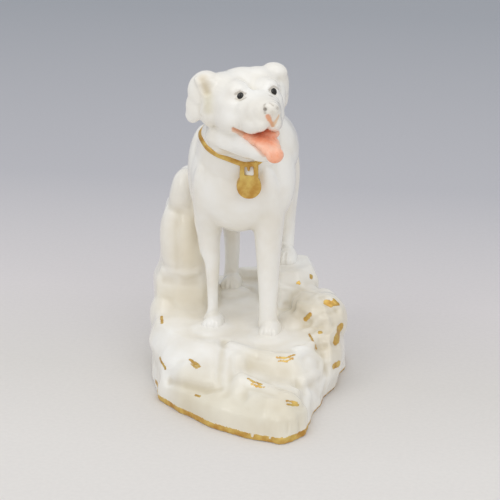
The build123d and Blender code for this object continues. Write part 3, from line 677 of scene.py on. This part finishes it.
# Padlock: flat, in low relief, with the little keeper in its shackle
gilt_voxel = 0.2
gilt_wipes = 4
padlock_shift = (0.7, 0.0, 0.0)
keeper = ((5.4, -16.0, 82.8), (0.55, 0.5, 0.9), (0, 0, 14))
padlock = Clay("padlock", ["padlock"], ["padlock"], [keeper], gilt_voxel)
padlock.points += np.array(padlock_shift, np.float32) * MM
padlock.relax(gilt_wipes)

# Collar: beads round the neck, close enough to run into one flat band. Its height is given by the
# angle from the breast, in degrees towards the dog's left, where it runs up behind the jaw. On the
# dog's right it is sunk a little, so that it doesn't stand out from the neck.
neck_x, neck_y, neck_reach = 1.5, -5.0, 40.0
collar_heights = [
    (-180, 99.0), (-155, 97.8), (-130, 96.0), (-105, 94.4), (-92, 93.2), (-85, 92.0), (-60, 90.5),
    (-49, 89.0), (-38, 88.0), (-26, 87.2), (-16, 86.6), (-5, 85.8), (15, 84.2), (38, 84.2), (47, 85.4),
    (55, 89.2), (62, 93.4), (69, 96.4), (80, 97.4), (100, 97.2), (125, 97.3), (150, 98.2), (180, 99.0),
]
collar_sinks = [(-135, 0.0), (-122, 0.45), (-92, 0.45), (-84, 0.0)]
bead_count = 220
bead_size = (0.8, 1.0, 0.7)
collar_wipes = 12
angles = np.arange(bead_count) * 360 / bead_count - 180
heights = np.interp(angles, *zip(*collar_heights))
sinks = np.interp(angles, *zip(*collar_sinks))
for _ in range(collar_wipes):
    heights = (np.roll(heights, 1) + 2 * heights + np.roll(heights, -1)) / 4
beads = []
for angle, height, sink in zip(np.radians(angles), heights, sinks):
    outward = Vector((math.sin(angle), -math.cos(angle), 0))
    start = Vector((neck_x, neck_y, height)) + outward * neck_reach
    _, spot, normal, _ = dog.object.ray_cast(start * MM, -outward)
    normal.z = max(normal.z, 0.0)
    normal.normalize()
    beads.append((spot - normal * sink * MM, normal))
collar_lumps = []
for (before, _), (spot, normal), (after, _) in zip(beads[-1:] + beads, beads, beads[1:] + beads[:1]):
    across = normal.cross(after - before).normalized()
    turned = Matrix((across.cross(normal), across, normal)).transposed().to_euler()
    collar_lumps.append((spot / MM, bead_size, [math.degrees(angle) for angle in turned]))
collar = Clay("collar", ["collar"], [], collar_lumps, gilt_voxel)
collar.relax(gilt_wipes)

# Materials. The sockets of a mix and of a sum share their names, so they go by number.
mix_share = 0
colour_first, colour_second, colour_mixed = 6, 7, 2
value_first, value_second, value_mixed = 2, 3, 0
sum_first, sum_second = 0, 1
blotch_edges = (0.35, 0.65)
glaze_ior = 1.5
gold_metal = 0.85


def set_inputs(tree, node, inputs):
    """Gives a node its inputs: each is a link from another node, or a constant on the socket."""
    for socket, value in inputs.items():
        if isinstance(value, bpy.types.NodeSocket):
            tree.links.new(value, node.inputs[socket])
        else:
            node.inputs[socket].default_value = value


def add_node(tree, kind, inputs, **settings):
    """Adds a shader node with its settings and inputs."""
    node = tree.nodes.new(kind)
    for key, value in settings.items():
        setattr(node, key, value)
    set_inputs(tree, node, inputs)
    return node


def new_material(name):
    """A new material, its node tree and its surface shader."""
    material = bpy.data.materials.new(name)
    material.use_nodes = True
    return material, material.node_tree, material.node_tree.nodes["Principled BSDF"]


def blotches(tree, size_mm, dark, light, detail=3.0):
    """Soft blotches of two colours, of a size given in millimetres: their pattern and colour."""
    place = add_node(tree, "ShaderNodeTexCoord", {}).outputs["Object"]
    scale = 1 / (size_mm * MM)
    cloud = add_node(tree, "ShaderNodeTexNoise", {"Vector": place, "Scale": scale, "Detail": detail})
    ramp = add_node(tree, "ShaderNodeValToRGB", {"Fac": cloud.outputs["Fac"]})
    for stop, at, colour in zip(ramp.color_ramp.elements, blotch_edges, (dark, light)):
        stop.position = at
        stop.color = linear(colour)
    return cloud.outputs["Fac"], ramp.outputs["Color"]


def washed(tree, ground):
    """A ground colour under the washes painted on the clay: enamel, and painted shade in places."""
    wash = add_node(tree, "ShaderNodeAttribute", {}, attribute_name="tint").outputs["Color"]
    layers = {mix_share: 1.0, colour_first: ground, colour_second: wash}
    mix = add_node(tree, "ShaderNodeMix", layers, data_type="RGBA", blend_type="MULTIPLY")
    return mix.outputs[colour_mixed]


def fired_gold(tree):
    """Fired gold, rubbed browner and duller in places: colour, roughness and brush grain."""
    worn, colour = blotches(tree, 3.0, "#CC9B4D", "#E7C874", 4.0)
    grain, _ = blotches(tree, 0.25, "#000000", "#FFFFFF")
    rub = add_node(tree, "ShaderNodeMapRange", {"Value": worn, "To Min": 0.52, "To Max": 0.34})
    return colour, rub.outputs["Result"], grain


# White porcelain under a clear glaze: milky white, with painted shade in creases, darker and warmer where
# the glaze pools; a soft wet shine; the gold of the foot line and brush marks is fired onto it
porcelain, tree, shader = new_material("glazed_porcelain")
cloud, milk = blotches(tree, 14.0, "#F3EEE3", "#FBF9F3")
peel, _ = blotches(tree, 0.9, "#000000", "#FFFFFF")
crease = add_node(tree, "ShaderNodeAttribute", {}, attribute_name="hollow").outputs["Fac"]
gilt = add_node(tree, "ShaderNodeAttribute", {}, attribute_name="gilt").outputs["Fac"]
# Painted shade: the deeper a crease, the more of the darker, warmer colour it takes
crease_shade = add_node(tree, "ShaderNodeMapRange", {"Value": crease, "To Min": 0.0, "To Max": 0.65})
crease_shade_mix = {mix_share: crease_shade.outputs["Result"], colour_first: milk, colour_second: linear("#DBD2BC")}
glaze = add_node(tree, "ShaderNodeMix", crease_shade_mix, data_type="RGBA").outputs[colour_mixed]

# The strokes of gold have ragged edges, frayed by the glaze and by the hairs of the brush
gold_colour, gold_rough, grain = fired_gold(tree)
ragged = gilt
for pattern, reach in ((peel, 0.24), (grain, 0.12)):
    fray = add_node(tree, "ShaderNodeMapRange", {"Value": pattern, "To Min": -reach, "To Max": reach})
    edges = {sum_first: ragged, sum_second: fray.outputs["Result"]}
    ragged = add_node(tree, "ShaderNodeMath", edges, operation="ADD").outputs["Value"]
stroke = add_node(
    tree, "ShaderNodeMapRange", {"Value": ragged, "From Min": 0.49, "From Max": 0.53},
).outputs["Result"]
gilded = {mix_share: stroke, colour_first: washed(tree, glaze), colour_second: gold_colour}
metal = add_node(tree, "ShaderNodeMapRange", {"Value": stroke, "To Min": 0.0, "To Max": gold_metal})
gloss = add_node(tree, "ShaderNodeMapRange", {"Value": cloud, "To Min": 0.12, "To Max": 0.26})
polish = {mix_share: stroke, value_first: gloss.outputs["Result"], value_second: gold_rough}
relief = {}
for pattern, height_mm in ((cloud, 0.25), (peel, 0.012), (stroke, 0.05)):
    bump = add_node(tree, "ShaderNodeBump", {"Height": pattern, "Distance": height_mm * MM, **relief})
    relief = {"Normal": bump.outputs["Normal"]}
set_inputs(tree, shader, {
    "Base Color": add_node(tree, "ShaderNodeMix", gilded, data_type="RGBA").outputs[colour_mixed],
    "Metallic": metal.outputs["Result"],
    "Roughness": add_node(tree, "ShaderNodeMix", polish).outputs[value_mixed],
    "IOR": glaze_ior,
    **relief,
})

# Worn gilding on the collar and padlock: old gold with browner rubs and a satin shine
gilding, tree, shader = new_material("worn_gilding")
gold_colour, gold_rough, grain = fired_gold(tree)
bump = add_node(tree, "ShaderNodeBump", {"Height": grain, "Distance": 0.03 * MM})
set_inputs(tree, shader, {
    "Base Color": gold_colour,
    "Metallic": gold_metal,
    "Roughness": gold_rough,
    "Normal": bump.outputs["Normal"],
})

# Pink enamel on the tongue: thin coral wash, paler where it wiped off, with a fired gloss
pink, tree, shader = new_material("pink_enamel")
cloud, coral = blotches(tree, 2.2, "#FFB896", "#FFCBB0")
gloss = add_node(tree, "ShaderNodeMapRange", {"Value": cloud, "To Min": 0.2, "To Max": 0.36})
bump = add_node(tree, "ShaderNodeBump", {"Height": cloud, "Distance": 0.06 * MM})
set_inputs(tree, shader, {
    "Base Color": washed(tree, coral),
    "Roughness": gloss.outputs["Result"],
    "IOR": glaze_ior,
    "Normal": bump.outputs["Normal"],
})

# Black enamel of the eyes: nearly black, browner where it is thin, glossy
black, tree, shader = new_material("black_enamel")
cloud, soot = blotches(tree, 0.8, "#2A261F", "#14130F")
gloss = add_node(tree, "ShaderNodeMapRange", {"Value": cloud, "To Min": 0.12, "To Max": 0.25})
bump = add_node(tree, "ShaderNodeBump", {"Height": cloud, "Distance": 0.03 * MM})
set_inputs(tree, shader, {
    "Base Color": soot,
    "Roughness": gloss.outputs["Result"],
    "IOR": glaze_ior,
    "Normal": bump.outputs["Normal"],
})

# Eyes: flat domes, half sunk in the clay
eye_size = (1.15, 1.25, 0.45)
for name, (spot, normal) in eye_seats.items():
    form = bmesh.new()
    place = Matrix.LocRotScale(spot, normal.to_track_quat("Z", "Y"), Vector(eye_size) * MM)
    bmesh.ops.create_uvsphere(form, u_segments=32, v_segments=16, radius=1, matrix=place)
    mesh = bpy.data.meshes.new("eye")
    form.to_mesh(mesh)
    form.free()
    mesh.shade_smooth()
    mesh.materials.append(black)
    eye = shown(name, mesh)
    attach(eye, "root")

dog.cut_apart(porcelain)
rock.cut_apart(porcelain)
tongue.cut_apart(pink)
padlock.cut_apart(gilding)
collar.cut_apart(gilding)

# Floor, with its half width in metres
floor_half = 6.0
form = bmesh.new()
bmesh.ops.create_grid(form, x_segments=1, y_segments=1, size=floor_half)
mesh = bpy.data.meshes.new("floor")
form.to_mesh(mesh)
form.free()
floor = shown("floor", mesh)

# Studio paper: matt, with a faint fibre, pale at the front; a painted falloff of light shades it grey-blue
# further back. The painted shade fades in between two distances, in metres behind the middle of the figure.
paper_front, paper_back = -0.06, 0.76
paper_falloff_stops = [(0.0, "#E7E3DE"), (0.08, "#DFDBD6"), (0.18, "#DFDAD9"), (0.39, "#C4C3C7"), (1.0, "#B3B6BC")]
paper, tree, shader = new_material("studio_paper")
place = add_node(tree, "ShaderNodeTexCoord", {}).outputs["Object"]
depth = add_node(tree, "ShaderNodeSeparateXYZ", {"Vector": place}).outputs["Y"]
fade = add_node(tree, "ShaderNodeMapRange", {"Value": depth, "From Min": paper_front, "From Max": paper_back})
ramp = add_node(tree, "ShaderNodeValToRGB", {"Fac": fade.outputs["Result"]})
while len(ramp.color_ramp.elements) < len(paper_falloff_stops):
    ramp.color_ramp.elements.new(1.0)
for stop, (at, colour) in zip(ramp.color_ramp.elements, paper_falloff_stops):
    stop.position = at
    stop.color = linear(colour)
fibre, flecks = blotches(tree, 1.5, "#FCFCFC", "#FFFFFF")
layers = {mix_share: 1.0, colour_first: ramp.outputs["Color"], colour_second: flecks}
flecked = add_node(tree, "ShaderNodeMix", layers, data_type="RGBA", blend_type="MULTIPLY")
matt = add_node(tree, "ShaderNodeMapRange", {"Value": fibre, "To Min": 0.8, "To Max": 0.95})
bump = add_node(tree, "ShaderNodeBump", {"Height": fibre, "Distance": 0.003 * MM})
set_inputs(tree, shader, {
    "Base Color": flecked.outputs[colour_mixed],
    "Roughness": matt.outputs["Result"],
    "Normal": bump.outputs["Normal"],
})
mesh.materials.append(paper)

# Soft studio light: the place and width of each lamp in metres, and its power in watts
light_aim = Vector((0, 0, 0.05))
for name, spot, size, power in (
    ("key_softbox", (-0.46, -0.70, 0.90), 0.8, 2.4),
    ("fill_softbox", (0.56, -0.70, 0.86), 0.8, 2.7),
    ("top_softbox", (0.0, 0.0, 1.1), 0.9, 1.5),
    ("window_spark", (-0.50, -0.45, 0.80), 0.12, 0.14),
):
    light = bpy.data.lights.new(name, "AREA")
    light.shape = "SQUARE"
    light.size = size
    light.energy = power
    lamp = shown(name, light)
    lamp.location = spot
    lamp.rotation_euler = (light_aim - Vector(spot)).to_track_quat("-Z", "Y").to_euler()
world = bpy.data.worlds.new("studio")
world.use_nodes = True
room_light = {"Color": linear("#E6E8EC"), "Strength": 0.74}
set_inputs(world.node_tree, world.node_tree.nodes["Background"], room_light)
scene.world = world
scene.view_settings.view_transform = "Standard"
